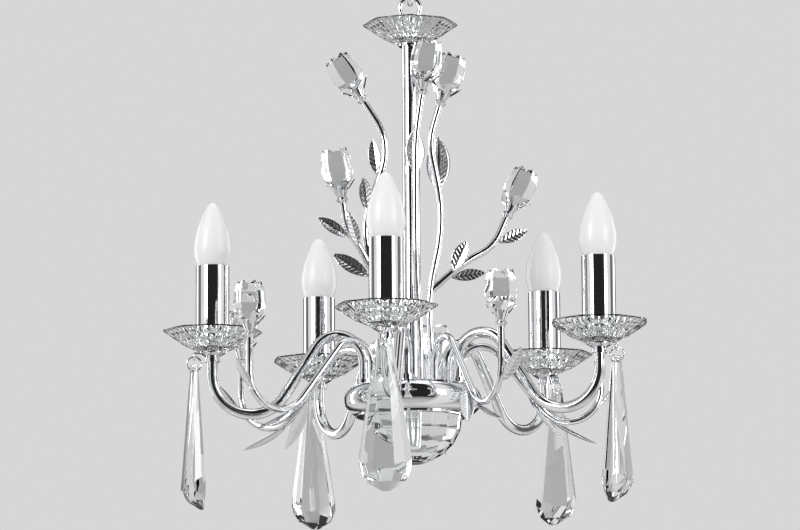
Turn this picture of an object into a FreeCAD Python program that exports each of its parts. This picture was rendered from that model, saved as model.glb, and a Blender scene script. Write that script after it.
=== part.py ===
import FreeCAD, Part
import math
import os
from FreeCAD import Vector

# Crystal chandelier with five candle arms, cut dishes, long cut drops and a spray of
# glass rosebuds round the column. Millimetres, +Z up. The origin is the point it hangs
# from, on the inside of the upper bow of the chain link. Azimuth 0 faces the viewer (-Y)
# and grows to the viewer's right (+X).

# ---- driving dimensions -----------------------------------------------------------

# fits
running_gap = 0.3
fit_gap = 0.1
cutter_overrun = 1.0

# chain link and top loop
link_wire = 5.0
link_inner_length = 36.0
link_inner_width = 14.0
loop_wire = 4.5
loop_inner_radius = 7.3
loop_boss_diameter = 13.0
loop_boss_height = 9.0

# crystal dishes: the one on the column and the five under the candles
dish_points = 8
dish_scallop = 0.94
dish_floor = 5.0
dish_rim_thickness = 1.6
top_dish_radius = 45.0
top_dish_height = 20.0
top_dish_drop = 78.5
drip_dish_radius = 46.5
drip_dish_height = 20.5
dish_foot_radius = 13.0
dish_floor_radius = 18.5
dish_wall = 4.2
dish_shoulder_reach = 0.62
dish_shoulder_rise = 0.34

# column
rod_diameter = 10.0
rod_bore = 7.0
washer_diameter = 22.0
washer_thickness = 2.0
column_diameter = 16.0
column_wall = 1.2
column_length = 323.0
column_collar_diameter = 28.0
column_collar_height = 8.0
rod_thread_grip = 7.0

# hub
hub_radius = 64.0
hub_flat_radius = 54.0
hub_height = 27.0
hub_wall = 1.5
base_plate_thickness = 2.0
base_plate_lip = 1.0
half_ball_radius = 46.0
half_ball_height = 44.0
half_ball_rows = (0.0, 18.0, 36.0, 54.0, 70.0)
half_ball_sides = 16
half_ball_tip_radius = 9.0
ball_socket_depth = 20.0
terminal_length = 30.0
terminal_width = 12.0
terminal_height = 14.0
terminal_radius = 28.0
terminal_ways = 5
terminal_wire_bore = 3.0

# arms
arm_count = 5
first_arm_azimuth = -7.0
arm_radius = 188.0
arm_diameter = 10.0
arm_wall = 1.0
arm_hub_radius = 46.0
arm_arch_radius = 24.5
arm_arch_rise = 46.0
arm_bend_radius = 36.0
arm_dip = 29.0
arm_hub_grip = 12.0
arm_end_grip = 8.0
collar_height = 5.0
collar_wall = 3.0
nut_height = 5.0
nut_margin = 3.4

# candles
candle_rise = 108.0
candle_tube_height = 75.0
candle_tube_diameter = 31.0
candle_tube_wall = 1.0
holder_diameter = 27.4
holder_height = 55.0
bulb_diameter = 35.0
bulb_height = 60.0
bulb_neck_diameter = 27.6
bulb_cap_diameter = 13.8
bulb_cap_top = 18.0
bulb_cap_bottom = 40.0
bulb_contact_diameter = 6.0
# the glass above the candle tube, as shares of the bulb's height and radius
bulb_outline = ((0.18, 0.98), (0.33, 0.995), (0.49, 0.91), (0.65, 0.755), (0.8, 0.55), (0.93, 0.34),
                (0.985, 0.175))
bulb_sunk_share = 0.45
bulb_sunk_reach = 0.8

# cup and eye under each drip dish
cup_height = 9.0
cup_top_diameter = 24.0
cup_foot_diameter = 14.0
cup_waist_diameter = 12.0
cup_rim_height = 1.0
eye_offset = 17.0
eye_radius = 2.8
eye_wire = 2.0

# ring and long cut drop
ring_outer_diameter = 15.0
ring_wire = 2.0
drop_length = 133.0
drop_head_width = 14.5
drop_belly_depth = 114.0
drop_belly_width = 50.0
drop_belly_thickness = 19.0
drop_chin_depth = 125.0
drop_chin_share = 0.7
drop_tip_share = 0.16
drop_hole_depth = 4.4
drop_hole_diameter = 4.2
drop_hole_rise = 0.6
# half of the drop's outline from its flat back to its face, as shares of thickness and width
drop_outline = ((0.0, 0.44), (0.2, 0.5), (0.68, 0.39), (1.0, 0.2))
star_cut_depth = 1.0
star_cut_slope = 12.0

# flower stems
stem_diameter = 6.4
stem_foot_radius = 18.0
stem_hub_grip = 8.0
stem_bend_share = 0.45
spray_top_gap = 51.0
low_stem_radius = 180.0
low_stem_arch_radius = 21.0
low_stem_arch_rise = 38.0
low_stem_bend_radius = 32.0
low_stem_dip = 31.0
low_stem_top = 32.0
low_stem_azimuths = (26.0, -55.0, -115.0, 173.0, 101.0)

# rosebud, calyx and leaf
bud_height = 42.0
bud_diameter = 30.0
bud_foot_diameter = 10.6
bud_mouth_diameter = 22.5
bud_sides = 6
bud_notch_depth = 4.0
# the bud's swell, as shares of its height and radius
bud_outline = ((0.27, 0.84), (0.48, 1.0), (0.76, 0.93))
calyx_length = 14.0
calyx_cup_depth = 4.0
calyx_cup_diameter = 15.0
calyx_lip = 0.8
calyx_knob_diameter = 11.0
calyx_knob_height = 3.1
calyx_neck_diameter = 7.7
calyx_neck_height = 5.9
sepal_count = 5
sepal_length = 13.0
sepal_width = 6.0
sepal_lean = 42.0
sepal_root = 1.6
sepal_widest = 0.4
leaf_thickness = 0.8
leaf_fold = 18.0
leaf_seat_gap = 0.5
leaf_widest = 0.45

# ---- levels worked out from the top down --------------------------------------------

link_pivot_z = -(link_inner_length + link_wire / 2)
loop_centre_z = -link_inner_length + running_gap - loop_inner_radius
top_dish_foot_z = -top_dish_drop
top_dish_floor_z = top_dish_foot_z + dish_floor
column_top_z = top_dish_foot_z - washer_thickness
hub_top_z = column_top_z - column_length
hub_bottom_z = hub_top_z - hub_height
ball_top_z = hub_bottom_z - base_plate_thickness

tube_top_z = hub_top_z + candle_rise
dish_floor_z = tube_top_z - candle_tube_height
dish_foot_z = dish_floor_z - dish_floor
cup_bottom_z = dish_foot_z - cup_height
eye_centre_z = dish_foot_z - eye_wire / 2 - eye_radius - running_gap
ring_pivot_z = eye_centre_z - eye_radius
ring_radius = (ring_outer_diameter - ring_wire) / 2
ring_centre_z = ring_pivot_z + eye_wire / 2 + running_gap + ring_wire / 2 - ring_radius
drop_pivot_z = ring_centre_z - ring_radius + drop_hole_rise

arm_azimuths = [first_arm_azimuth + 360.0 / arm_count * i for i in range(arm_count)]
UP = Vector(0, 0, 1)
ORIGIN = Vector(0, 0, 0)


# ---- shared shapes ------------------------------------------------------------------

def polar(radius, azimuth, z):
    """The point at a distance from the column axis, an azimuth and a height."""
    angle = math.radians(azimuth)
    return Vector(radius * math.sin(angle), -radius * math.cos(angle), z)


def turned(shape, azimuth):
    """A copy of a shape drawn along +X, turned to an azimuth."""
    copy = shape.copy()
    copy.rotate(ORIGIN, UP, azimuth - 90)
    return copy


def single(shape):
    """The one solid that a cut or a fuse leaves."""
    return shape.Solids[0]


def cylinder(diameter, bottom, top, x=0.0):
    return Part.makeCylinder(diameter / 2, top - bottom, Vector(x, 0, bottom))


def tube(diameter, bore, bottom, top, x=0.0):
    outside = cylinder(diameter, bottom, top, x)
    return outside.cut(cylinder(bore, bottom - cutter_overrun, top + cutter_overrun, x))


def revolved(points, x=0.0):
    """A solid of revolution about Z, from (radius, height) corners."""
    corners = [Vector(radius, 0, z) for radius, z in points]
    face = Part.Face(Part.makePolygon(corners + corners[:1]))
    solid = face.revolve(ORIGIN, UP, 360)
    solid.translate(Vector(x, 0, 0))
    return solid


def hexagon_nut(bore, z, x=0.0, height=nut_height):
    """A hexagon nut with its underside at z."""
    radius = bore / 2 + nut_margin
    corners = [Vector(x + radius * math.cos(math.radians(60 * i)),
                      radius * math.sin(math.radians(60 * i)), z) for i in range(6)]
    prism = Part.Face(Part.makePolygon(corners + corners[:1])).extrude(UP * height)
    return prism.cut(cylinder(bore, z - cutter_overrun, z + height + cutter_overrun, x))


def rounded_path(points):
    """Straight runs joined by tangent arcs, each as large as its two runs allow."""
    edges = []
    start = points[0]
    for before, corner, after in zip(points, points[1:], points[2:]):
        run_in = corner - before
        run_out = after - corner
        cut = stem_bend_share * min(run_in.Length, run_out.Length)
        run_in.normalize()
        run_out.normalize()
        half_turn = run_in.getAngle(run_out) / 2
        radius = cut / math.tan(half_turn)
        inward = (run_out - run_in).normalize()
        arc_start = corner - run_in * cut
        arc_middle = corner + inward * (radius / math.cos(half_turn) - radius)
        arc_end = corner + run_out * cut
        edges.append(Part.LineSegment(start, arc_start).toShape())
        edges.append(Part.Arc(arc_start, arc_middle, arc_end).toShape())
        start = arc_end
    edges.append(Part.LineSegment(start, points[-1]).toShape())
    return Part.Wire(edges)


def s_path(foot_radius, foot_z, arch_radius, arch_top, bend_radius, outer_radius, lowest, top_z):
    """An S in the XZ plane: up from the hub, over an arch, down a slope, round a bend, up."""
    arch = Vector(foot_radius + arch_radius, 0, arch_top - arch_radius)
    bend = Vector(outer_radius - bend_radius, 0, lowest + bend_radius)
    span = bend - arch
    slope = math.atan2(span.z, span.x)
    lean = math.acos((arch_radius + bend_radius) / span.Length)
    touch = slope + lean
    out = Vector(math.cos(touch), 0, math.sin(touch))
    middle = (math.pi + touch) / 2
    arch_crown = Vector(math.cos(middle), 0, math.sin(middle))
    low = (touch + math.pi + 2 * math.pi) / 2
    bend_middle = Vector(math.cos(low), 0, math.sin(low))
    leg_top = arch - Vector(arch_radius, 0, 0)
    arch_end = arch + out * arch_radius
    bend_start = bend - out * bend_radius
    riser_foot = bend + Vector(bend_radius, 0, 0)
    return Part.Wire([
        Part.LineSegment(Vector(foot_radius, 0, foot_z), leg_top).toShape(),
        Part.Arc(leg_top, arch + arch_crown * arch_radius, arch_end).toShape(),
        Part.LineSegment(arch_end, bend_start).toShape(),
        Part.Arc(bend_start, bend + bend_middle * bend_radius, riser_foot).toShape(),
        Part.LineSegment(riser_foot, Vector(outer_radius, 0, top_z)).toShape(),
    ])


def swept(path, diameter):
    """A round bar along a path of lines and tangent arcs."""
    first = path.Edges[0]
    start = first.valueAt(first.FirstParameter)
    along = first.tangentAt(first.FirstParameter)
    section = Part.Wire(Part.makeCircle(diameter / 2, start, along))
    return path.makePipeShell([section], True, True)


def drop_section(share, depth):
    """The outline of a drop at a depth: its belly outline drawn in towards its flat back."""
    half = [Vector(share * x * drop_belly_thickness, share * y * drop_belly_width, -depth)
            for x, y in drop_outline]
    corners = half + [Vector(point.x, -point.y, point.z) for point in reversed(half)]
    return Part.makePolygon(corners + corners[:1])


def star(radius, z):
    """The scalloped outline of a dish: points, with shallow hollows between them."""
    corners = []
    for i in range(2 * dish_points):
        reach = radius if i % 2 == 0 else radius * dish_scallop
        angle = math.pi * i / dish_points
        corners.append(Vector(reach * math.cos(angle), reach * math.sin(angle), z))
    return Part.makePolygon(corners + corners[:1])


def regular(radius, z, sides):
    corners = [Vector(radius * math.cos(2 * math.pi * i / sides),
                      radius * math.sin(2 * math.pi * i / sides), z) for i in range(sides)]
    return Part.makePolygon(corners + corners[:1])


def faceted(sections):
    """A cut-glass solid: flat facets between like outlines."""
    return Part.makeLoft(sections, True, True)


def aimed(shape, point, direction):
    """A copy of a shape drawn up +Z, moved to a point and tipped to a direction."""
    copy = shape.copy()
    copy.Placement = FreeCAD.Placement(point, FreeCAD.Rotation(UP, direction))
    return copy


def grinder(point, outward, size):
    """The glass that a flat ground through a point, facing outward, takes off."""
    block = Part.makeBox(2 * size, 2 * size, size, Vector(-size, -size, 0))
    return aimed(block, point, outward)


# ---- suspension ---------------------------------------------------------------------

def chain_link():
    """An oval link in the YZ plane; the origin is inside its upper bow."""
    bow = (link_inner_width + link_wire) / 2
    upper = -bow + link_wire / 2
    lower = -link_inner_length + bow - link_wire / 2
    path = Part.Wire([
        Part.LineSegment(Vector(0, -bow, lower), Vector(0, -bow, upper)).toShape(),
        Part.Arc(Vector(0, -bow, upper), Vector(0, 0, upper + bow), Vector(0, bow, upper)).toShape(),
        Part.LineSegment(Vector(0, bow, upper), Vector(0, bow, lower)).toShape(),
        Part.Arc(Vector(0, bow, lower), Vector(0, 0, lower - bow), Vector(0, -bow, lower)).toShape(),
    ])
    return swept(path, link_wire)


def top_loop():
    """A pear-shaped loop in the XZ plane, its legs run together into a threaded boss."""
    reach = loop_inner_radius + loop_wire / 2
    boss_top = top_dish_floor_z + loop_boss_height
    foot = Vector((loop_boss_diameter - loop_wire) / 2 - fit_gap, 0, boss_top - loop_wire / 2)
    centre = Vector(0, 0, loop_centre_z)
    span = foot - centre
    touch = math.atan2(span.z, span.x) + math.acos(reach / span.Length)
    right = centre + Vector(math.cos(touch), 0, math.sin(touch)) * reach
    left = Vector(-right.x, 0, right.z)
    left_foot = Vector(-foot.x, 0, foot.z)
    path = Part.Wire([
        Part.LineSegment(foot, right).toShape(),
        Part.Arc(right, centre + UP * reach, left).toShape(),
        Part.LineSegment(left, left_foot).toShape(),
    ])
    boss = cylinder(loop_boss_diameter, top_dish_floor_z, boss_top)
    socket = cylinder(rod_diameter, top_dish_floor_z - cutter_overrun,
                      top_dish_floor_z + rod_thread_grip)
    return boss.fuse(swept(path, loop_wire)).cut(socket).removeSplitter()


# ---- crystal dishes -----------------------------------------------------------------

def dish(radius, height, foot_z, bore, x=0.0):
    """A shallow cut bowl with a scalloped, pointed rim and a bored flat floor."""
    shoulder = dish_shoulder_reach * radius
    shoulder_z = dish_shoulder_rise * height
    bowl = faceted([
        star(dish_foot_radius, 0),
        star(shoulder, shoulder_z),
        star(radius, height - dish_rim_thickness),
        star(radius - dish_rim_thickness / 2, height),
    ])
    hollow = faceted([
        star(dish_floor_radius, dish_floor),
        star(shoulder, shoulder_z + dish_wall),
        star(radius - dish_rim_thickness, height + fit_gap),
    ])
    solid = single(bowl.cut(hollow).cut(cylinder(bore, -cutter_overrun, height)))
    solid.translate(Vector(x, 0, foot_z))
    return solid


# ---- column and hub -----------------------------------------------------------------

def central_rod():
    """The hollow threaded rod that pulls loop, column, hub and half ball together."""
    top = top_dish_floor_z + rod_thread_grip
    bottom = ball_top_z - ball_socket_depth + running_gap
    return tube(rod_diameter - 2 * fit_gap, rod_bore, bottom, top)


def column_collar():
    """The turned foot of the column, resting on the hub."""
    ring_radius_top = column_diameter / 2 + collar_wall
    foot_radius = column_collar_diameter / 2
    bore_radius = column_diameter / 2 + fit_gap
    return revolved([
        (bore_radius, hub_top_z), (foot_radius, hub_top_z),
        (foot_radius, hub_top_z + column_collar_height / 3),
        (ring_radius_top, hub_top_z + column_collar_height / 2),
        (ring_radius_top, hub_top_z + column_collar_height),
        (bore_radius, hub_top_z + column_collar_height),
    ])


def bun_solid(inset):
    """The bulging body of the hub, shrunk by a wall."""
    top = hub_top_z - inset
    bottom = hub_bottom_z
    edge = Part.Arc(Vector(hub_flat_radius, 0, top),
                    Vector(hub_radius - inset, 0, (hub_top_z + hub_bottom_z) / 2),
                    Vector(hub_flat_radius, 0, bottom)).toShape()
    profile = Part.Wire([
        Part.LineSegment(Vector(0, 0, bottom), Vector(0, 0, top)).toShape(),
        Part.LineSegment(Vector(0, 0, top), Vector(hub_flat_radius, 0, top)).toShape(),
        edge,
        Part.LineSegment(Vector(hub_flat_radius, 0, bottom), Vector(0, 0, bottom)).toShape(),
    ])
    return Part.Face(profile).revolve(ORIGIN, UP, 360)


def hub_shell():
    """The spun bun, open below, with a hole for each arm and stem."""
    shell = bun_solid(0).cut(bun_solid(hub_wall))
    bottom = hub_top_z - hub_height
    top = hub_top_z + cutter_overrun
    holes = [cylinder(rod_diameter + 2 * fit_gap, bottom, top)]
    for azimuth in arm_azimuths:
        hole = cylinder(arm_diameter + 2 * fit_gap, bottom, top, arm_hub_radius)
        holes.append(turned(hole, azimuth))
    for radius, azimuth in stem_feet():
        hole = cylinder(stem_diameter + 2 * fit_gap, bottom, top, radius)
        holes.append(turned(hole, azimuth))
    return shell.cut(holes)


def hub_base():
    """The flat plate that closes the bun."""
    radius = hub_flat_radius - base_plate_lip
    plate = cylinder(2 * radius, ball_top_z, hub_bottom_z)
    bore = cylinder(rod_diameter + 2 * fit_gap, ball_top_z - cutter_overrun,
                    hub_bottom_z + cutter_overrun)
    return plate.cut(bore)


def terminal_block():
    """The connector strip for the ten lamp wires, screwed to the hub base."""
    corner = Vector(terminal_radius - terminal_width / 2, -terminal_length / 2, hub_bottom_z)
    block = Part.makeBox(terminal_width, terminal_length, terminal_height, corner)
    pitch = terminal_length / terminal_ways
    wire_holes = []
    for i in range(1, terminal_ways):
        y = -terminal_length / 2 + pitch * i
        start = Vector(terminal_radius - terminal_width, y, hub_bottom_z + terminal_height / 2)
        wire_holes.append(Part.makeCylinder(terminal_wire_bore / 2, 2 * terminal_width, start,
                                            Vector(1, 0, 0)))
    return turned(block.cut(wire_holes), first_arm_azimuth + 180.0 / arm_count)


def half_ball():
    """The cut crystal half ball under the hub, drilled for the end of the rod."""
    sections = []
    for angle in half_ball_rows:
        radius = half_ball_radius * math.cos(math.radians(angle))
        depth = half_ball_height * math.sin(math.radians(angle))
        sections.append(regular(radius, ball_top_z - depth, half_ball_sides))
    sections.append(regular(half_ball_tip_radius, ball_top_z - half_ball_height, half_ball_sides))
    socket = cylinder(rod_diameter + 2 * fit_gap, ball_top_z - ball_socket_depth,
                      ball_top_z + cutter_overrun)
    return faceted(sections).cut(socket)


# ---- arms and candles ---------------------------------------------------------------

def arm():
    """One S-shaped arm, a tube whose threaded end runs up into the lampholder."""
    path = s_path(arm_hub_radius, hub_top_z - arm_hub_grip, arm_arch_radius,
                  hub_top_z + arm_arch_rise, arm_bend_radius, arm_radius,
                  hub_top_z - arm_dip, dish_floor_z + arm_end_grip)
    return swept(path, arm_diameter).cut(swept(path, arm_diameter - 2 * arm_wall))


def cup():
    """The turned cup under a drip dish, with the eye that carries the drop."""
    bore = arm_diameter / 2 + fit_gap
    body = revolved([
        (bore, cup_bottom_z), (cup_foot_diameter / 2, cup_bottom_z),
        (cup_foot_diameter / 2, cup_bottom_z + cup_height / 3),
        (cup_waist_diameter / 2, cup_bottom_z + cup_height / 2),
        (cup_top_diameter / 2, dish_foot_z - cup_rim_height), (cup_top_diameter / 2, dish_foot_z),
        (bore, dish_foot_z),
    ], arm_radius)
    eye_x = arm_radius + eye_offset
    eye = Part.makeTorus(eye_radius, eye_wire / 2, Vector(eye_x, 0, eye_centre_z), Vector(1, 0, 0))
    bar_z = eye_centre_z + eye_radius
    bar_start = Vector(arm_radius + cup_foot_diameter / 2, 0, bar_z)
    bar_length = eye_x - bar_start.x
    bar = Part.makeCylinder(eye_wire / 2, bar_length, bar_start, Vector(1, 0, 0))
    return body.fuse([eye, bar]).removeSplitter()


def candle_tube():
    bore = candle_tube_diameter - 2 * candle_tube_wall
    return tube(candle_tube_diameter, bore, dish_floor_z, tube_top_z, arm_radius)


def lampholder():
    """The screw lampholder inside a candle tube, threaded on to the end of the arm."""
    body = cylinder(holder_diameter, dish_floor_z, dish_floor_z + holder_height, arm_radius)
    socket_floor = tube_top_z - bulb_cap_bottom - running_gap
    socket = cylinder(bulb_cap_diameter + 2 * running_gap, socket_floor, tube_top_z, arm_radius)
    thread = cylinder(arm_diameter + 2 * fit_gap, dish_floor_z - cutter_overrun,
                      dish_floor_z + arm_end_grip + running_gap, arm_radius)
    return body.cut([socket, thread])


def bulb():
    """A candle bulb: a drawn glass flame on a screw cap with its centre contact."""
    radius = bulb_diameter / 2
    waist = bulb_neck_diameter / 2
    cap = bulb_cap_diameter / 2
    tip = Vector(0, 0, bulb_height)
    glass = [Vector(share * radius, 0, rise * bulb_height) for rise, share in bulb_outline]
    neck = Vector(bulb_sunk_reach * waist, 0, -bulb_sunk_share * bulb_cap_top)
    outline = Part.BSplineCurve()
    outline.interpolate([Vector(cap, 0, -bulb_cap_top), neck, Vector(waist, 0, 0)] + glass + [tip])
    contact = bulb_contact_diameter / 2
    shoulder_z = -bulb_cap_bottom + contact
    profile = Part.Wire([
        outline.toShape(),
        Part.LineSegment(tip, Vector(0, 0, -bulb_cap_bottom)).toShape(),
        Part.LineSegment(Vector(0, 0, -bulb_cap_bottom), Vector(contact, 0, -bulb_cap_bottom)).toShape(),
        Part.LineSegment(Vector(contact, 0, -bulb_cap_bottom), Vector(cap, 0, shoulder_z)).toShape(),
        Part.LineSegment(Vector(cap, 0, shoulder_z), Vector(cap, 0, -bulb_cap_top)).toShape(),
    ])
    solid = Part.Face(profile).revolve(ORIGIN, UP, 360)
    solid.translate(Vector(arm_radius, 0, tube_top_z))
    return solid


# ---- rings and drops ----------------------------------------------------------------

def drop_ring():
    centre = Vector(arm_radius + eye_offset, 0, ring_centre_z)
    return Part.makeTorus(ring_radius, ring_wire / 2, centre, Vector(0, 1, 0))


def star_cuts():
    """The kites ground across each ridge where the long facets meet the chin."""
    cuts = []
    slope = math.radians(star_cut_slope)
    for x, y in drop_outline[1:]:
        for side in (1, -1):
            ridge = Vector(x * drop_belly_thickness, side * y * drop_belly_width, 0)
            middle = Vector(drop_belly_thickness / 3, 0, 0)
            radial = (ridge - middle).normalize()
            outward = radial * math.cos(slope) - UP * math.sin(slope)
            point = ridge - radial * star_cut_depth - UP * drop_belly_depth
            cuts.append(grinder(point, outward, drop_belly_width))
    return cuts


def drop():
    """A long cut drop with a flat back, hung so that its weight lies under its hole."""
    head_share = drop_head_width / drop_belly_width
    body = Part.makeLoft([drop_section(head_share, 0), drop_section(1, drop_belly_depth),
                          drop_section(drop_chin_share, drop_chin_depth),
                          drop_section(drop_tip_share, drop_length)], True, True)
    body = single(body.cut(star_cuts()).removeSplitter())
    head_thickness = head_share * drop_belly_thickness
    pivot = Vector(head_thickness / 2, 0, -drop_hole_depth)
    weight = body.CenterOfMass - pivot
    lean = math.degrees(math.atan2(weight.x, -weight.z))
    body.rotate(pivot, Vector(0, 1, 0), lean)
    hole_start = Vector(-head_thickness, 0, -drop_hole_depth)
    hole = Part.makeCylinder(drop_hole_diameter / 2, 3 * head_thickness, hole_start, Vector(1, 0, 0))
    solid = single(body.cut(hole))
    solid.translate(Vector(arm_radius + eye_offset, 0, drop_pivot_z) - pivot)
    return solid


# ---- flower stems -------------------------------------------------------------------

# The three tall stems and two branches, as (distance out, azimuth, height above the hub).
# The heights are drawn for one column and stretched to the length that it has.
tall_stem_points = {
    "left": [(stem_foot_radius, -97, -stem_hub_grip), (stem_foot_radius, -97, 42), (39, -97, 112),
             (46, -97, 158), (24, -97, 214), (26, -97, 242), (44, -97, 271)],
    "middle": [(stem_foot_radius, 25, -stem_hub_grip), (stem_foot_radius, 25, 40), (19, 11, 110),
               (20, 11, 180), (19, 13, 232), (25, 24, 272)],
    "right": [(stem_foot_radius, 95, -stem_hub_grip), (stem_foot_radius, 95, 24), (15, 95, 84),
              (31, 95, 158), (17, 95, 232), (27, 95, 266)],
}
branch_points = {
    "left": [(39, -97, 112), (49, -90, 132), (61, -84, 148), (65, -82, 172)],
    "right": [(16, 95, 88), (48, 99, 117), (79, 103, 134), (92, 104, 162)],
}


# Their leaves: where on the stem, the tip, the width, and the side that the leaf leaves from.
tall_stem_leaves = {
    "left": [((30, -97, 200), (37, -100, 236), 12, "edge"), ((43, -97, 166), (45, -85, 198), 12, "front"),
             ((37, -97, 105), (75, -97, 127), 15, "edge"), ((57, -87, 141), (88, -89, 160), 12, "edge"),
             ((48, -86, 133), (62, -72, 162), 11, "front")],
    "middle": [((20, 11, 200), (15, 11, 240), 19, "back")],
    "right": [((26, 100, 187), (28, 113, 238), 23, "back"), ((84, 103, 138), (113, 103, 151), 12, "edge"),
              ((38, 97, 108), (52, 92, 137), 15, "front"), ((36, 99, 104), (70, 97, 108), 12, "edge")],
}
# The leaves of a low stem, in the same order, as distances out, sideways and up.
low_stem_leaves = [((132, 0, -28), (176, 4, -51), 14, "back"), ((112, 0, -8), (140, -14, -50), 14, "back"),
                   ((176, 0, -16), (200, 10, 12), 13, "edge")]


def route(points):
    """Points of the spray, from the hub up to a gap below the top of the column."""
    drawn = max(height for stem in tall_stem_points.values() for radius, azimuth, height in stem)
    stretch = (column_length - spray_top_gap) / drawn
    return [polar(radius, azimuth, hub_top_z + (height * stretch if height > 0 else height))
            for radius, azimuth, height in points]


def stem_feet():
    """Where each stem enters the hub: distance out and azimuth."""
    feet = [points[0][:2] for points in tall_stem_points.values()]
    feet += [(arm_hub_radius, azimuth) for azimuth in low_stem_azimuths]
    return feet


def tall_stem_paths(name):
    return [rounded_path(route(points[name])) for points in (tall_stem_points, branch_points)
            if name in points]


def tall_stem(name):
    """A tall stem bent by hand from round bar, with its side branch brazed on."""
    bars = [swept(path, stem_diameter) for path in tall_stem_paths(name)]
    return bars[0] if len(bars) == 1 else single(bars[0].fuse(bars[1]))


def low_stem_path():
    return s_path(arm_hub_radius, hub_top_z - stem_hub_grip, low_stem_arch_radius,
                  hub_top_z + low_stem_arch_rise, low_stem_bend_radius, low_stem_radius,
                  hub_top_z - low_stem_dip, hub_top_z + low_stem_top)


def upper_tips():
    """The end point and direction of each stem and branch beside the column."""
    tips = []
    for points in list(tall_stem_points.values()) + list(branch_points.values()):
        end = route(points)[-2:]
        tips.append((end[1], (end[1] - end[0]).normalize()))
    return tips


def lower_tips():
    height = hub_top_z + low_stem_top
    return [(polar(low_stem_radius, azimuth, height), UP) for azimuth in low_stem_azimuths]


# ---- rosebuds, calyxes and leaves ---------------------------------------------------

def rosebud():
    """A cut-glass bud standing on z = 0, its mouth notched into petal tips."""
    radius = bud_diameter / 2
    body = faceted([
        regular(bud_foot_diameter / 2, 0, bud_sides),
        regular(bud_foot_diameter / 2, calyx_cup_depth, bud_sides),
        *[regular(share * radius, rise * bud_height, bud_sides) for rise, share in bud_outline],
        regular(bud_mouth_diameter / 2, bud_height, bud_sides),
    ])
    notches = []
    for i in range(bud_sides // 2):
        corners = [Vector(-bud_diameter, 0, bud_height - bud_notch_depth),
                   Vector(-bud_diameter, -radius / 2, bud_height + cutter_overrun),
                   Vector(-bud_diameter, radius / 2, bud_height + cutter_overrun)]
        wedge = Part.Face(Part.makePolygon(corners + corners[:1])).extrude(Vector(2 * bud_diameter, 0, 0))
        wedge.rotate(ORIGIN, UP, 360.0 / bud_sides * (i + 0.5))
        notches.append(wedge)
    return body.cut(notches)


def sepal():
    """One pointed sepal, leaning out from the lip of the calyx cup."""
    half = sepal_width / 2
    left_foot = Vector(0, -half / 2, 0)
    right_foot = Vector(0, half / 2, 0)
    left_side = Vector(0, -half, sepal_widest * sepal_length)
    right_side = Vector(0, half, sepal_widest * sepal_length)
    point = Vector(0, 0, sepal_length)
    outline = Part.Wire([
        Part.LineSegment(left_foot, right_foot).toShape(),
        Part.Arc(right_foot, right_side, point).toShape(),
        Part.Arc(point, left_side, left_foot).toShape(),
    ])
    blade = Part.Face(outline).extrude(Vector(leaf_thickness, 0, 0))
    blade.rotate(ORIGIN, Vector(0, 1, 0), sepal_lean)
    blade.translate(Vector(calyx_cup_diameter / 2 - calyx_lip, 0, calyx_length - sepal_root))
    return blade


def calyx():
    """The turned socket between stem and bud: knob, neck and flared cup with sepals."""
    stem = stem_diameter / 2 + fit_gap
    knob = calyx_knob_diameter / 2
    cup_radius = calyx_cup_diameter / 2
    floor_z = calyx_length - calyx_cup_depth
    seat = bud_foot_diameter / 2 + running_gap
    body = revolved([
        (0, 0), (stem, 0), (knob, calyx_knob_height), (calyx_neck_diameter / 2, calyx_neck_height),
        (cup_radius, calyx_length), (cup_radius - calyx_lip, calyx_length),
        (seat, floor_z), (0, floor_z),
    ])
    sepals = [sepal() for i in range(sepal_count)]
    for i, blade in enumerate(sepals):
        blade.rotate(ORIGIN, UP, 360.0 / sepal_count * i)
    return single(body.fuse(sepals))


def leaf(base, tip, width, facing):
    """A pointed leaf stamped from sheet and folded along its rib."""
    length = (tip - base).Length
    rib_end = Vector(length, 0, 0)
    halves = []
    for side in (1, -1):
        widest = Vector(leaf_widest * length, side * width / 2, 0)
        edge = Part.Arc(rib_end, widest, ORIGIN).toShape()
        outline = Part.Wire([Part.LineSegment(ORIGIN, rib_end).toShape(), edge])
        half = Part.Face(outline).extrude(UP * leaf_thickness)
        half.rotate(ORIGIN, Vector(1, 0, 0), side * leaf_fold)
        halves.append(half)
    blade = halves[0].fuse(halves[1]).removeSplitter()
    along = (tip - base).normalize()
    across = facing.cross(along).normalize()
    normal = along.cross(across)
    blade.Placement = FreeCAD.Placement(base, FreeCAD.Rotation(along, across, normal, "XYZ"))
    return blade


def seated_leaf(paths, near, tip, width, facing, side):
    """A leaf whose foot lies against the front, back or edge of the nearest bar."""
    nearest = min((path.distToShape(Part.Vertex(near)) for path in paths), key=lambda found: found[0])
    axis_point = nearest[1][0][0]
    if side == "back":
        facing = -facing
    towards = tip - axis_point if side == "edge" else facing
    edge = min((edge for path in paths for edge in path.Edges),
               key=lambda edge: edge.distToShape(Part.Vertex(axis_point))[0])
    along = edge.tangentAt(edge.Curve.parameter(axis_point))
    sideways = (towards - along * towards.dot(along)).normalize()
    base = axis_point + sideways * (stem_diameter / 2 + leaf_seat_gap)
    return leaf(base, tip, width, facing)


def upper_leaves():
    leaves = []
    for name, places in tall_stem_leaves.items():
        for near, tip, width, side in places:
            near_point, tip_point = route([near, tip])
            leaves.append(seated_leaf(tall_stem_paths(name), near_point, tip_point, width,
                                      Vector(0, -1, 0), side))
    return leaves


def lower_leaves():
    sprig = []
    for near, tip, width, side in low_stem_leaves:
        ends = [Vector(out, sideways, hub_top_z + height) for out, sideways, height in (near, tip)]
        facing = UP if tip[2] < 0 else Vector(1, 0, 0)
        sprig.append(seated_leaf([low_stem_path()], ends[0], ends[1], width, facing, side))
    return [turned(blade, azimuth) for azimuth in low_stem_azimuths for blade in sprig]


# ---- the pieces, written one file a node ----------------------------------------------

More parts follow.
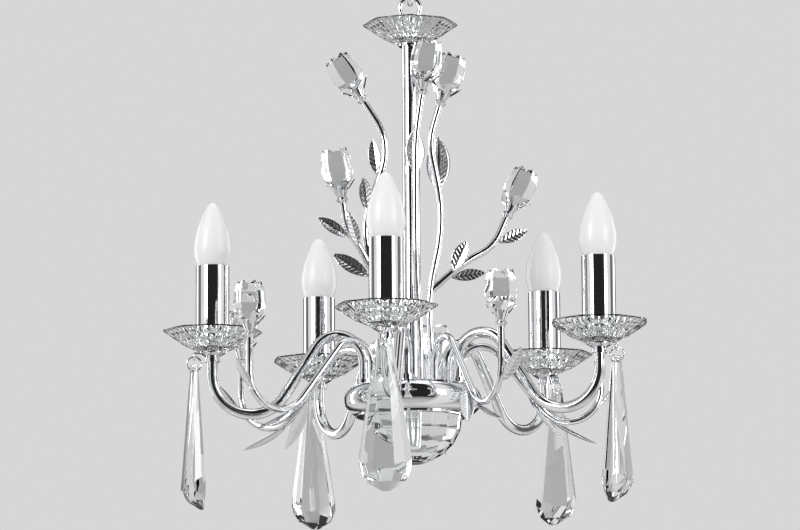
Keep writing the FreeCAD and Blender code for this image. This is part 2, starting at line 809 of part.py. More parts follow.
def write(name, shapes):
    shape = shapes[0] if len(shapes) == 1 else Part.makeCompound(shapes)
    shape.exportStep("parts/" + name + ".step")


def write_frame():
    write("chain_link", [chain_link()])
    write("top_loop", [top_loop()])
    write("top_dish", [dish(top_dish_radius, top_dish_height, top_dish_foot_z, rod_diameter + 2 * fit_gap)])
    write("top_washer", [tube(washer_diameter, rod_diameter + 2 * fit_gap, column_top_z, top_dish_foot_z)])
    bore = column_diameter - 2 * column_wall
    write("column_tube", [tube(column_diameter, bore, hub_top_z, column_top_z)])
    write("central_rod", [central_rod()])
    write("column_collar", [column_collar()])
    write("hub_shell", [hub_shell()])
    write("hub_base", [hub_base()])
    write("terminal_block", [terminal_block()])
    write("half_ball", [half_ball()])
    rod_nut_z = (hub_top_z - hub_wall - nut_height, hub_bottom_z)
    write("rod_nuts", [hexagon_nut(rod_diameter, z) for z in rod_nut_z])


def write_arms():
    bore = arm_diameter + 2 * fit_gap
    collar = tube(arm_diameter + 2 * collar_wall, bore, hub_top_z, hub_top_z + collar_height,
                  arm_hub_radius)
    nut = hexagon_nut(bore, hub_top_z - hub_wall - nut_height, arm_hub_radius)
    write("arm_collars", [turned(collar, azimuth) for azimuth in arm_azimuths])
    write("arm_nuts", [turned(nut, azimuth) for azimuth in arm_azimuths])
    write("dish_cups", [turned(cup(), azimuth) for azimuth in arm_azimuths])
    write("lampholders", [turned(lampholder(), azimuth) for azimuth in arm_azimuths])
    drip_dish = dish(drip_dish_radius, drip_dish_height, dish_foot_z, bore, arm_radius)
    pieces = {"arm": arm(), "drip_dish": drip_dish, "candle_tube": candle_tube(), "bulb": bulb(),
              "drop_ring": drop_ring(), "drop": drop()}
    for name, piece in pieces.items():
        for number, azimuth in enumerate(arm_azimuths, 1):
            write(name + "_" + str(number), [turned(piece, azimuth)])


def write_flowers():
    for name in tall_stem_points:
        write("tall_stem_" + name, [tall_stem(name)])
    low_stem = swept(low_stem_path(), stem_diameter)
    for number, azimuth in enumerate(low_stem_azimuths, 1):
        write("low_stem_" + str(number), [turned(low_stem, azimuth)])
    write("leaves_upper", upper_leaves())
    write("leaves_lower", lower_leaves())
    bud_seat = calyx_length - calyx_cup_depth
    for group, tips in (("upper", upper_tips()), ("lower", lower_tips())):
        buds = [aimed(rosebud(), point + direction * (bud_seat + fit_gap), direction)
                for point, direction in tips]
        write("rosebuds_" + group, buds)
    calyxes = [aimed(calyx(), point, direction) for point, direction in upper_tips() + lower_tips()]
    write("calyxes", calyxes)


os.makedirs("parts", exist_ok=True)
write_frame()
write_arms()
write_flowers()
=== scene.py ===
import math

import bmesh
import bpy
from mathutils import Matrix, Vector


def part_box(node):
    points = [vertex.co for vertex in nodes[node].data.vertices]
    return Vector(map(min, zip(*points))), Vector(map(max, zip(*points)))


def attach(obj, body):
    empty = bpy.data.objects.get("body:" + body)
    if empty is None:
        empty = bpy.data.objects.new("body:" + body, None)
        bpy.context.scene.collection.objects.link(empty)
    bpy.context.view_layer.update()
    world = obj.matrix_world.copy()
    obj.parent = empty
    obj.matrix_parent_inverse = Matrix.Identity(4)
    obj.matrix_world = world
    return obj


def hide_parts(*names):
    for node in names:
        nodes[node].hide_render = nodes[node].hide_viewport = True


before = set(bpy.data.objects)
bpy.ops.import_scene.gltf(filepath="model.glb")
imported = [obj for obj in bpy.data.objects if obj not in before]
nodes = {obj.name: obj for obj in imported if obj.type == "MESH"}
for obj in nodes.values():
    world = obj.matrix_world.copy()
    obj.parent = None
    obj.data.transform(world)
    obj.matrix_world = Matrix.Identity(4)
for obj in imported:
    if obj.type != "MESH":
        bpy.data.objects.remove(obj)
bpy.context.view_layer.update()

ARMS = range(1, 6)


# ---- chain link, loop, washer and column -------------------------------------------------
# Steel wire and drawn brass tube, all polished and chrome plated. The link hangs on the
# ceiling hook, the loop screws on to the rod that runs down the middle of the column.

def effect(name, inputs, outputs):
    """A shader node group with named float inputs (name, value) and typed outputs."""
    group = bpy.data.node_groups.new(name, "ShaderNodeTree")
    for label, value in inputs:
        socket = group.interface.new_socket(label, in_out="INPUT", socket_type="NodeSocketFloat")
        socket.default_value = value
    for label, kind in outputs:
        group.interface.new_socket(label, in_out="OUTPUT", socket_type=kind)
    return group, group.nodes.new("NodeGroupInput"), group.nodes.new("NodeGroupOutput")


def polish_effect():
    """Hand polish under plating: faint haze patches, and a ripple too fine to see as waves."""
    group, given, out = effect(
        "polish", [("Scale", 40.0), ("Roughness", 0.04), ("Haze", 0.05)],
        [("Roughness", "NodeSocketFloat"), ("Tint", "NodeSocketColor"), ("Height", "NodeSocketFloat")])
    nodes_, links = group.nodes, group.links
    place = nodes_.new("ShaderNodeTexCoord")
    haze = nodes_.new("ShaderNodeTexNoise")
    haze.inputs["Detail"].default_value = 5.0
    links.new(place.outputs["Object"], haze.inputs["Vector"])
    links.new(given.outputs["Scale"], haze.inputs["Scale"])
    patch = nodes_.new("ShaderNodeMapRange")
    patch.inputs["From Min"].default_value = 0.5
    patch.inputs["From Max"].default_value = 0.75
    links.new(haze.outputs["Fac"], patch.inputs["Value"])
    spread = nodes_.new("ShaderNodeMath")
    spread.operation = "MULTIPLY_ADD"
    links.new(patch.outputs["Result"], spread.inputs[0])
    links.new(given.outputs["Haze"], spread.inputs[1])
    links.new(given.outputs["Roughness"], spread.inputs[2])
    links.new(spread.outputs["Value"], out.inputs["Roughness"])
    tint = nodes_.new("ShaderNodeMix")
    tint.data_type = "RGBA"
    tint.inputs["A"].default_value = (0.86, 0.87, 0.89, 1)
    tint.inputs["B"].default_value = (0.78, 0.78, 0.79, 1)
    links.new(patch.outputs["Result"], tint.inputs["Factor"])
    links.new(tint.outputs["Result"], out.inputs["Tint"])
    ripple = nodes_.new("ShaderNodeTexNoise")
    ripple.inputs["Scale"].default_value = 180.0
    links.new(place.outputs["Object"], ripple.inputs["Vector"])
    links.new(ripple.outputs["Fac"], out.inputs["Height"])
    return group


def metal(name, polish, roughness, haze, scale, ripple):
    """A metal with its own roughness, haze and height of ripple, in metres."""
    made = bpy.data.materials.new(name)
    made.use_nodes = True
    tree = made.node_tree
    shader = tree.nodes["Principled BSDF"]
    shader.inputs["Metallic"].default_value = 1.0
    finish = tree.nodes.new("ShaderNodeGroup")
    finish.node_tree = polish
    finish.inputs["Scale"].default_value = scale
    finish.inputs["Roughness"].default_value = roughness
    finish.inputs["Haze"].default_value = haze
    bump = tree.nodes.new("ShaderNodeBump")
    bump.inputs["Strength"].default_value = 0.35
    bump.inputs["Distance"].default_value = ripple
    tree.links.new(finish.outputs["Roughness"], shader.inputs["Roughness"])
    tree.links.new(finish.outputs["Tint"], shader.inputs["Base Color"])
    tree.links.new(finish.outputs["Height"], bump.inputs["Height"])
    tree.links.new(bump.outputs["Normal"], shader.inputs["Normal"])
    return made


def finish_node(name, material):
    """Gives a CAD piece its finish."""
    node = nodes[name]
    node.data.materials.clear()
    node.data.materials.append(material)


polish = polish_effect()
chrome = metal("chrome_plate", polish, 0.03, 0.05, 34.0, 0.00002)
steel = metal("zinc_steel", polish, 0.28, 0.15, 120.0, 0.00012)
for name in ("chain_link", "top_loop", "top_washer", "column_tube", "column_collar"):
    finish_node(name, chrome)
for name in ("central_rod", "rod_nuts", "arm_nuts"):
    finish_node(name, steel)


# ---- crystal dishes ----------------------------------------------------------------------
# Pressed and cut lead crystal with a pointed rim. The top one sits on the washer of the
# column and the five others under the candle tubes, each clamped by the tube through it.

def crystal_material():
    """Clear lead glass, faintly green in depth, with the soft smear of a wiped surface."""
    made = bpy.data.materials.new("cut_crystal")
    made.use_nodes = True
    tree = made.node_tree
    shader = tree.nodes["Principled BSDF"]
    shader.inputs["Transmission Weight"].default_value = 1.0
    shader.inputs["IOR"].default_value = 1.56
    place = tree.nodes.new("ShaderNodeTexCoord")
    smear = tree.nodes.new("ShaderNodeTexNoise")
    smear.inputs["Scale"].default_value = 60.0
    smear.inputs["Detail"].default_value = 4.0
    tree.links.new(place.outputs["Object"], smear.inputs["Vector"])
    wiped = tree.nodes.new("ShaderNodeMapRange")
    wiped.inputs["From Min"].default_value = 0.55
    wiped.inputs["From Max"].default_value = 0.8
    wiped.inputs["To Min"].default_value = 0.0
    wiped.inputs["To Max"].default_value = 0.06
    tree.links.new(smear.outputs["Fac"], wiped.inputs["Value"])
    tree.links.new(wiped.outputs["Result"], shader.inputs["Roughness"])
    tint = tree.nodes.new("ShaderNodeMix")
    tint.data_type = "RGBA"
    tint.inputs["A"].default_value = (0.985, 0.995, 0.99, 1)
    tint.inputs["B"].default_value = (0.95, 0.975, 0.965, 1)
    tree.links.new(smear.outputs["Fac"], tint.inputs["Factor"])
    tree.links.new(tint.outputs["Result"], shader.inputs["Base Color"])
    return made


def whole(node):
    """A copy of a CAD solid with its loose triangles merged into whole facets."""
    shape = bmesh.new()
    shape.from_mesh(nodes[node].data)
    bmesh.ops.remove_doubles(shape, verts=shape.verts, dist=1e-6)
    bmesh.ops.dissolve_limit(shape, angle_limit=math.radians(0.5), verts=shape.verts, edges=shape.edges)
    return shape


def fit_piece(shape, name, material, slot_name, body, *replaced):
    """Makes a piece of a shape, gives it its finish and fixes it to its body."""
    mesh = bpy.data.meshes.new(name)
    shape.to_mesh(mesh)
    shape.free()
    mesh.materials.clear()
    mesh.materials.append(material)
    piece = bpy.data.objects.new(name, mesh)
    bpy.context.scene.collection.objects.link(piece)
    if replaced:
        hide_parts(*replaced)
    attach(piece, body)
    return piece


def ease_seats(shape):
    """Keeps the level seats of the glass a hair off the metal, as their paper washers do."""
    for way in (-1, 1):
        seats = {vert for face in shape.faces if face.normal.z * way > 0.999 for vert in face.verts}
        bmesh.ops.translate(shape, verts=list(seats), vec=(0, 0, -way * SEAT_GAP))


def grind_edges(shape, width):
    """Takes the sharpness off the ridges between facets, as the last polish does."""
    crisp = [line for line in shape.edges
             if line.is_manifold and line.calc_face_angle() > math.radians(9)]
    bmesh.ops.bevel(shape, geom=crisp, offset=width, affect="EDGES", segments=1, profile=0.5,
                    material=-1, clamp_overlap=True)


def dish_sides(shape, axis, foot_radius):
    """The flats on the outside of a dish, from its foot out to the rim."""
    return [face for face in shape.faces if face.normal.z < -0.15
            and (face.calc_center_median() - axis).xy.length > foot_radius]


def cut_dish(node, name):
    """A dish with hollow diamonds ground into its outside, four to a flat."""
    low, high = (Vector(corner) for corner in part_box(node))
    axis = (low + high) / 2
    shape = whole(node)
    ease_seats(shape)
    sides = dish_sides(shape, axis, DISH_FOOT)
    rims = list({line for face in sides for line in face.edges})
    bmesh.ops.subdivide_edges(shape, edges=rims, cuts=1, use_grid_fill=True)
    bmesh.ops.poke(shape, faces=dish_sides(shape, axis, DISH_FOOT), offset=-DIAMOND_DEPTH)
    grind_edges(shape, DISH_EDGE)
    return fit_piece(shape, name, crystal, "crystal", "frame", node)


crystal = crystal_material()
SEAT_GAP = 0.00015
DISH_FOOT = 0.0135
DISH_EDGE = 0.00022
DIAMOND_DEPTH = 0.0011
cut_dish("top_dish", "cut_top_dish")
for i in ARMS:
    cut_dish(f"drip_dish_{i}", f"cut_drip_dish_{i}")


# ---- hub and half ball -------------------------------------------------------------------
# A spun brass bun closed by a flat plate, both chromed, with the connector strip inside.
# The cut half ball screws on to the foot of the rod.

def moulded(name, colour, roughness, grain):
    """A moulded plastic with the fine texture of its mould."""
    made = bpy.data.materials.new(name)
    made.use_nodes = True
    tree = made.node_tree
    shader = tree.nodes["Principled BSDF"]
    place = tree.nodes.new("ShaderNodeTexCoord")
    speck = tree.nodes.new("ShaderNodeTexNoise")
    speck.inputs["Scale"].default_value = grain
    speck.inputs["Detail"].default_value = 6.0
    tree.links.new(place.outputs["Object"], speck.inputs["Vector"])
    tint = tree.nodes.new("ShaderNodeMix")
    tint.data_type = "RGBA"
    tint.inputs["A"].default_value = (*colour, 1)
    tint.inputs["B"].default_value = (*(0.86 * part for part in colour), 1)
    tree.links.new(speck.outputs["Fac"], tint.inputs["Factor"])
    tree.links.new(tint.outputs["Result"], shader.inputs["Base Color"])
    wear = tree.nodes.new("ShaderNodeMapRange")
    wear.inputs["To Min"].default_value = roughness
    wear.inputs["To Max"].default_value = roughness + 0.2
    tree.links.new(speck.outputs["Fac"], wear.inputs["Value"])
    tree.links.new(wear.outputs["Result"], shader.inputs["Roughness"])
    bump = tree.nodes.new("ShaderNodeBump")
    bump.inputs["Strength"].default_value = 0.3
    bump.inputs["Distance"].default_value = 0.0001
    tree.links.new(speck.outputs["Fac"], bump.inputs["Height"])
    tree.links.new(bump.outputs["Normal"], shader.inputs["Normal"])
    return made


finish_node("hub_shell", chrome)
finish_node("hub_base", chrome)
finish_node("terminal_block", moulded("terminal_plastic", (0.82, 0.80, 0.74), 0.45, 900.0))


def cut_crystal(node, name, edge, body):
    """A cut crystal piece with a narrow ground edge between its facets."""
    shape = whole(node)
    ease_seats(shape)
    grind_edges(shape, edge)
    return fit_piece(shape, name, crystal, "crystal", body, node)


cut_crystal("half_ball", "cut_half_ball", 0.0004, "frame")


# ---- arms and cups -----------------------------------------------------------------------
# Brass tube bent to an S, with a collar where it enters the hub and a turned cup under
# the dish, which carries the eye for the drop. Polished and chrome plated.

for i in ARMS:
    finish_node(f"arm_{i}", chrome)
finish_node("arm_collars", chrome)
finish_node("dish_cups", chrome)


# ---- candles -----------------------------------------------------------------------------
# A chromed tube stands over a moulded lampholder, and an opal candle bulb screws into it.

def opal_material():
    """White flashed glass, a little brighter where it is thick, glossy outside."""
    made = bpy.data.materials.new("opal_glass")
    made.use_nodes = True
    tree = made.node_tree
    shader = tree.nodes["Principled BSDF"]
    shader.inputs["Coat Weight"].default_value = 0.2
    shader.inputs["Subsurface Weight"].default_value = 0.15
    shader.inputs["Subsurface Radius"].default_value = (1.0, 1.0, 0.95)
    shader.inputs["Subsurface Scale"].default_value = 0.004
    place = tree.nodes.new("ShaderNodeTexCoord")
    cloud = tree.nodes.new("ShaderNodeTexNoise")
    cloud.inputs["Scale"].default_value = 45.0
    tree.links.new(place.outputs["Object"], cloud.inputs["Vector"])
    tint = tree.nodes.new("ShaderNodeMix")
    tint.data_type = "RGBA"
    tint.inputs["A"].default_value = (0.97, 0.97, 0.965, 1)
    tint.inputs["B"].default_value = (0.93, 0.93, 0.92, 1)
    tree.links.new(cloud.outputs["Fac"], tint.inputs["Factor"])
    tree.links.new(tint.outputs["Result"], shader.inputs["Base Color"])
    sheen = tree.nodes.new("ShaderNodeMapRange")
    sheen.inputs["To Min"].default_value = 0.3
    sheen.inputs["To Max"].default_value = 0.42
    tree.links.new(cloud.outputs["Fac"], sheen.inputs["Value"])
    tree.links.new(sheen.outputs["Result"], shader.inputs["Roughness"])
    return made


def bulb_glass(i):
    """The opal envelope: the CAD bulb above its cap, shaded round."""
    low, high = (Vector(corner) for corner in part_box(f"bulb_{i}"))
    shape = bmesh.new()
    shape.from_mesh(nodes[f"bulb_{i}"].data)
    bmesh.ops.remove_doubles(shape, verts=shape.verts, dist=1e-6)
    level = Vector((0, 0, low.z + CAP_LENGTH))
    bmesh.ops.bisect_plane(shape, geom=shape.verts[:] + shape.edges[:] + shape.faces[:],
                           plane_co=level, plane_no=(0, 0, 1), clear_inner=True)
    rim = [line for line in shape.edges if line.is_boundary]
    bmesh.ops.contextual_create(shape, geom=rim)
    for face in shape.faces:
        face.smooth = face.normal.z > -0.99
    fit_piece(shape, f"bulb_glass_{i}", opal, "opal_glass", f"bulb_{i}", f"bulb_{i}")


def turned_part(outline, foot, steps=48):
    """A turned part from (radius, height) points in millimetres, closed on its axis."""
    shape = bmesh.new()
    points = [shape.verts.new(foot + Vector((radius, 0, height)) * 0.001) for radius, height in outline]
    lines = [shape.edges.new(pair) for pair in zip(points, points[1:])]
    bmesh.ops.spin(shape, geom=points + lines, cent=foot, axis=(0, 0, 1), angle=2 * math.pi,
                   steps=steps, use_merge=True)
    bmesh.ops.remove_doubles(shape, verts=shape.verts, dist=1e-6)
    bmesh.ops.recalc_face_normals(shape, faces=shape.faces)
    return shape


def screw_cap(i):
    """The nickelled screw cap with its rolled thread, and the contact under its glass."""
    low, high = (Vector(corner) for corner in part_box(f"bulb_{i}"))
    foot = Vector(((low.x + high.x) / 2, (low.y + high.y) / 2, low.z))
    ridges = [(THREAD_ROOT if step % 2 else THREAD_CREST, 6.0 + THREAD_PITCH * step / 2)
              for step in range(2 * THREAD_TURNS + 1)]
    shape = bmesh.new()
    points = [shape.verts.new(foot + Vector((radius, 0, height)) * 0.001) for radius, height in ridges]
    lines = [shape.edges.new(pair) for pair in zip(points, points[1:])]
    bmesh.ops.spin(shape, geom=points + lines, cent=foot, axis=(0, 0, 1), angle=2 * math.pi, steps=48,
                   dvec=(0, 0, THREAD_PITCH * 0.001 / 48))
    bmesh.ops.remove_doubles(shape, verts=shape.verts, dist=1e-6)
    bmesh.ops.recalc_face_normals(shape, faces=shape.faces)
    bmesh.ops.solidify(shape, geom=shape.faces[:], thickness=0.0002)
    fit_piece(shape, f"bulb_thread_{i}", nickel, "opal_glass", f"bulb_{i}")
    skirt = turned_part([(0, 20.8), (6.4, 20.8), (6.8, 21.2), (6.8, 21.9), (0, 21.9)], foot)
    fit_piece(skirt, f"bulb_skirt_{i}", nickel, "opal_glass", f"bulb_{i}")
    core = turned_part([(0, 2.6), (3.2, 2.6), (5.6, 5.2), (6.0, 6.0), (6.0, 20.9), (0, 20.9)], foot)
    fit_piece(core, f"bulb_core_{i}", vitrite, "opal_glass", f"bulb_{i}")
    contact = turned_part([(0, 0.05), (2.2, 0.1), (2.9, 0.7), (2.9, 2.7), (0, 2.7)], foot)
    fit_piece(contact, f"bulb_contact_{i}", nickel, "opal_glass", f"bulb_{i}")


CAP_LENGTH = 0.0219
THREAD_CREST = 6.8
THREAD_ROOT = 6.25
THREAD_PITCH = 2.8
THREAD_TURNS = 4
opal = opal_material()
nickel = metal("nickel_plate", polish, 0.2, 0.15, 150.0, 0.00003)
vitrite = moulded("cap_glass", (0.05, 0.04, 0.06), 0.15, 500.0)
finish_node("lampholders", moulded("holder_plastic", (0.80, 0.79, 0.76), 0.4, 700.0))
for i in ARMS:
    finish_node(f"candle_tube_{i}", chrome)
    bulb_glass(i)
    screw_cap(i)


# ---- rings and drops ---------------------------------------------------------------------
# A wire ring through the eye of the cup, and a long drop of cut lead crystal through the
# ring. The drop has a flat back, and its weight hangs under its hole.

for i in ARMS:
    finish_node(f"drop_ring_{i}", chrome)
    cut_crystal(f"drop_{i}", f"cut_drop_{i}", 0.00045, f"drop_{i}")


# ---- stems, leaves, calyxes and buds -------------------------------------------------------
# Stems bent from round bar, stamped leaves brazed to them, and turned calyxes that hold
# the cut glass buds. All the metal is chrome plated.

def leaf_frames(node, foot_key):
    """The rib, width and face of each leaf in a CAD node: foot, along, across, face, width."""
    shape = whole(node)
    left = set(shape.verts)
    frames = []
    while left:
        island, fresh = set(), [left.pop()]
        while fresh:
            vert = fresh.pop()
            island.add(vert)
            near = {line.other_vert(vert) for line in vert.link_edges} & left
            left -= near
            fresh += near
        points = [vert.co.copy() for vert in island]
        middle = sum(points, Vector()) / len(points)
        end = max(points, key=lambda point: (point - middle).length)
        foot, tip = sorted((end, max(points, key=lambda point: (point - end).length)), key=foot_key)
        along = (tip - foot).normalized()
        face = middle - foot - along * (middle - foot).dot(along)
        face.normalize()
        across = face.cross(along)
        width = 2 * max(abs((point - foot).dot(across)) for point in points)
        under = min((point - foot).dot(face) for point in points)
        frames.append((foot + face * under, along, across, face, (tip - foot).length, width))
    shape.free()
    return frames


def pressed_leaves(node, name, foot_key):
    """Leaves pressed from sheet: a folded rib, and veins that run from it out to the edge."""
    spray = bmesh.new()
    for foot, along, across, face, length, width in leaf_frames(node, foot_key):
        blade = bmesh.new()
        bmesh.ops.create_grid(blade, x_segments=36, y_segments=12, size=0.5)
        arch = (length * length / 4 + width * width / 4) / width
        for vert in blade.verts:
            share = vert.co.x + 0.5
            run = (share - 0.5) * length
            half = max(math.sqrt(arch * arch - run * run) - arch + width / 2, 0)
            side = vert.co.y * 2 * half
            reach = abs(vert.co.y) * 2
            rise = abs(side) * math.tan(LEAF_FOLD)
            vein = math.sin(2 * math.pi * (share * length - abs(side) * VEIN_RAKE) / VEIN_PITCH)
            swell = math.sin(math.pi * min(reach, 1)) ** 0.6 if 0 < reach < 1 else 0
            rise += VEIN_RISE * (vein * swell + 1) * min(half / 0.002, 1)
            vert.co = foot + along * share * length + across * side + face * rise
        bmesh.ops.remove_doubles(blade, verts=blade.verts, dist=2e-5)
        bmesh.ops.recalc_face_normals(blade, faces=blade.faces)
        bmesh.ops.solidify(blade, geom=blade.faces[:], thickness=LEAF_SHEET)
        for facet in blade.faces:
            facet.smooth = True
        press = bpy.data.meshes.new("blade")
        blade.to_mesh(press)
        blade.free()
        spray.from_mesh(press)
        bpy.data.meshes.remove(press)
    fit_piece(spray, name, leaf_plate, "chrome", "frame", node)


LEAF_FOLD = math.radians(18)
LEAF_SHEET = 0.0005
VEIN_PITCH = 0.0042
VEIN_RAKE = 0.9
VEIN_RISE = 0.00034
leaf_plate = metal("leaf_plate", polish, 0.2, 0.12, 90.0, 0.00005)
pressed_leaves("leaves_upper", "pressed_leaves_upper", lambda point: point.z)
pressed_leaves("leaves_lower", "pressed_leaves_lower", lambda point: point.xy.length)
for name in ("tall_stem_left", "tall_stem_middle", "tall_stem_right", "calyxes",
             *(f"low_stem_{i}" for i in ARMS)):
    finish_node(name, chrome)
for group in ("upper", "lower"):
    cut_crystal(f"rosebuds_{group}", f"cut_rosebuds_{group}", 0.0003, "frame")


# ---- studio ------------------------------------------------------------------------------
# A pale floor far below, soft lamps in front and to the sides, and a room that is pale
# behind the object and darker behind the camera, which is what polished metal needs.

scene = bpy.context.scene
scene.view_settings.view_transform = "Standard"

FLOOR_Z = -1.45
floor_shape = bmesh.new()
bmesh.ops.create_circle(floor_shape, cap_ends=True, segments=96, radius=16.0,
                        matrix=Matrix.Translation((0, 0, FLOOR_Z)))
floor_mesh = bpy.data.meshes.new("floor")
floor_shape.to_mesh(floor_mesh)
floor_shape.free()
floor = bpy.data.objects.new("floor", floor_mesh)
scene.collection.objects.link(floor)
PALE = 0.68
LIFT_NEAR = 0.05
LIFT_FAR = 0.25


def seen_directly(tree):
    """A mask of the camera's rays and those that metal and glass send on."""
    path = tree.nodes.new("ShaderNodeLightPath")
    total = path.outputs["Is Camera Ray"]
    for label in ("Is Glossy Ray", "Is Transmission Ray"):
        both = tree.nodes.new("ShaderNodeMath")
        both.operation = "MAXIMUM"
        tree.links.new(total, both.inputs[0])
        tree.links.new(path.outputs[label], both.inputs[1])
        total = both.outputs["Value"]
    return total


def room_by_bearing(tree, direction, stops):
    """The shade of the room by its angle round the object, from the front to straight behind."""
    parts = tree.nodes.new("ShaderNodeSeparateXYZ")
    tree.links.new(direction, parts.inputs["Vector"])
    to_front = tree.nodes.new("ShaderNodeMath")
    to_front.operation = "MULTIPLY"
    to_front.inputs[1].default_value = -1.0
    tree.links.new(parts.outputs["Y"], to_front.inputs[0])
    bearing = tree.nodes.new("ShaderNodeMath")
    bearing.operation = "ARCTAN2"
    tree.links.new(parts.outputs["X"], bearing.inputs[0])
    tree.links.new(to_front.outputs["Value"], bearing.inputs[1])
    turn = tree.nodes.new("ShaderNodeMath")
    turn.operation = "ABSOLUTE"
    tree.links.new(bearing.outputs["Value"], turn.inputs[0])
    share = tree.nodes.new("ShaderNodeMath")
    share.operation = "DIVIDE"
    share.inputs[1].default_value = math.pi
    tree.links.new(turn.outputs["Value"], share.inputs[0])
    walls = tree.nodes.new("ShaderNodeValToRGB")
    walls.color_ramp.elements.remove(walls.color_ramp.elements[1])
    for k, (place, shade) in enumerate(stops):
        stop = walls.color_ramp.elements[0] if k == 0 else walls.color_ramp.elements.new(place)
        stop.position = place
        stop.color = (shade, shade, shade, 1)
    tree.links.new(share.outputs["Value"], walls.inputs["Fac"])
    return walls.outputs["Color"]


def seen_in_metal(tree):
    """A mask of the rays that metal sends on, without those that come through glass."""
    path = tree.nodes.new("ShaderNodeLightPath")
    outside = tree.nodes.new("ShaderNodeMath")
    outside.operation = "SUBTRACT"
    outside.use_clamp = True
    tree.links.new(path.outputs["Is Glossy Ray"], outside.inputs[0])
    tree.links.new(path.outputs["Is Transmission Ray"], outside.inputs[1])
    return outside.outputs["Value"]


# Each side has a pale wall with darker cards beside it, so that metal shows dark lines and
# glass grey ones, from wherever it is seen.
METAL_ROOM = ((0.20, 0.02), (0.26, 0.82), (0.45, 0.82), (0.50, 0.12), (0.56, 0.12),
              (0.64, PALE), (0.78, PALE), (0.84, 0.03))
GLASS_ROOM = ((0.20, 0.30), (0.26, 0.82), (0.45, 0.82), (0.50, 0.30), (0.56, 0.30),
              (0.64, PALE), (0.80, PALE), (0.88, 0.40))

floor_paint = bpy.data.materials.new("floor_paint")
floor_paint.use_nodes = True
ground = floor_paint.node_tree
paint = ground.nodes["Principled BSDF"]
paint.inputs["Base Color"].default_value = (0.74, 0.74, 0.73, 1)
paint.inputs["Roughness"].default_value = 0.9
paint.inputs["Emission Color"].default_value = (1.0, 1.0, 0.99, 1)

# The floor fades into the backdrop, and farther out metal sees the cards over it.
spot = ground.nodes.new("ShaderNodeTexCoord")
reach = ground.nodes.new("ShaderNodeVectorMath")
reach.operation = "LENGTH"
ground.links.new(spot.outputs["Object"], reach.inputs[0])
fade = ground.nodes.new("ShaderNodeMapRange")
fade.inputs["From Min"].default_value = 2.0
fade.inputs["From Max"].default_value = 6.0
fade.inputs["To Min"].default_value = LIFT_NEAR
fade.inputs["To Max"].default_value = LIFT_FAR
ground.links.new(reach.outputs["Value"], fade.inputs["Value"])
lift = ground.nodes.new("ShaderNodeMath")
lift.operation = "MULTIPLY"
ground.links.new(seen_directly(ground), lift.inputs[0])
ground.links.new(fade.outputs["Result"], lift.inputs[1])
ground.links.new(lift.outputs["Value"], paint.inputs["Emission Strength"])
far = ground.nodes.new("ShaderNodeMapRange")
far.inputs["From Min"].default_value = 1.2
far.inputs["From Max"].default_value = 2.6
ground.links.new(reach.outputs["Value"], far.inputs["Value"])
in_metal = ground.nodes.new("ShaderNodeMath")
in_metal.operation = "MULTIPLY"
ground.links.new(far.outputs["Result"], in_metal.inputs[0])
ground.links.new(seen_in_metal(ground), in_metal.inputs[1])
cards = ground.nodes.new("ShaderNodeEmission")
ground.links.new(room_by_bearing(ground, spot.outputs["Object"], METAL_ROOM), cards.inputs["Color"])
either = ground.nodes.new("ShaderNodeMixShader")
ground.links.new(in_metal.outputs["Value"], either.inputs["Fac"])
ground.links.new(paint.outputs["BSDF"], either.inputs[1])
ground.links.new(cards.outputs["Emission"], either.inputs[2])
ground.links.new(either.outputs["Shader"], ground.nodes["Material Output"].inputs["Surface"])
floor_mesh.materials.append(floor_paint)

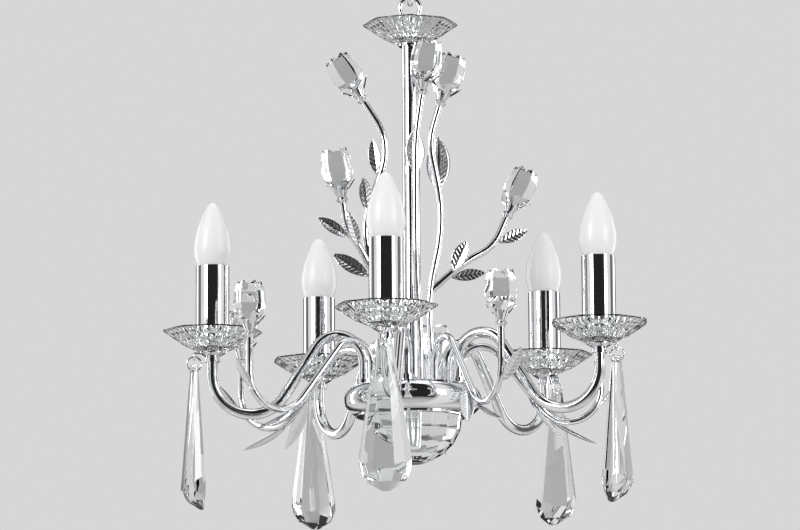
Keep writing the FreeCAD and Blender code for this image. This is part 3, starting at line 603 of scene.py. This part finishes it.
# The camera sees the same pale backdrop from every side.
world = bpy.data.worlds.new("studio")
scene.world = world
world.use_nodes = True
sky = world.node_tree
way = sky.nodes.new("ShaderNodeTexCoord").outputs["Generated"]
room = sky.nodes.new("ShaderNodeMix")
room.data_type = "RGBA"
sky.links.new(seen_in_metal(sky), room.inputs["Factor"])
sky.links.new(room_by_bearing(sky, way, GLASS_ROOM), room.inputs["A"])
sky.links.new(room_by_bearing(sky, way, METAL_ROOM), room.inputs["B"])
seen = sky.nodes.new("ShaderNodeMix")
seen.data_type = "RGBA"
seen.inputs["B"].default_value = (PALE, PALE, PALE, 1)
sky.links.new(sky.nodes.new("ShaderNodeLightPath").outputs["Is Camera Ray"], seen.inputs["Factor"])
sky.links.new(room.outputs["Result"], seen.inputs["A"])
sky.links.new(seen.outputs["Result"], sky.nodes["Background"].inputs["Color"])

TARGET = Vector((0.0, 0.0, -0.2893))


def softbox(name, place, width, height, power):
    """A soft rectangular lamp turned to the object."""
    lamp = bpy.data.lights.new(name, "AREA")
    lamp.shape = "RECTANGLE"
    lamp.size = width
    lamp.size_y = height
    lamp.energy = power
    holder = bpy.data.objects.new(name, lamp)
    holder.location = place
    holder.rotation_euler = (TARGET - Vector(place)).to_track_quat("-Z", "Y").to_euler()
    holder.visible_camera = False
    scene.collection.objects.link(holder)


softbox("key", (-2.3, -2.2, 0.9), 1.2, 1.6, 42)
softbox("fill", (2.4, -2.1, 0.3), 0.9, 1.8, 30)
softbox("overhead", (0.2, 0.3, 2.4), 1.6, 1.6, 10)
softbox("left_strip", (-2.4, 1.6, -0.2), 0.35, 2.2, 12)
softbox("right_strip", (2.4, 1.6, -0.2), 0.35, 2.2, 12)

CAMERA_DISTANCE = 3.5
CAMERA_RISE = math.radians(-9.19)
CAMERA_ROLL = math.radians(-0.41)
camera_data = bpy.data.cameras.new("camera")
camera_data.sensor_width = 36.0
camera_data.lens = 3739.0 / 800.0 * 36.0
camera_data.shift_x = -11.9 / 800.0
camera_data.clip_end = 60.0
camera = bpy.data.objects.new("camera", camera_data)
camera.location = TARGET + CAMERA_DISTANCE * Vector((0, -math.cos(CAMERA_RISE), math.sin(CAMERA_RISE)))
camera.rotation_euler = (Matrix.Rotation(math.radians(90) - CAMERA_RISE, 3, "X")
                         @ Matrix.Rotation(CAMERA_ROLL, 3, "Z")).to_euler()
scene.collection.objects.link(camera)
scene.camera = camera
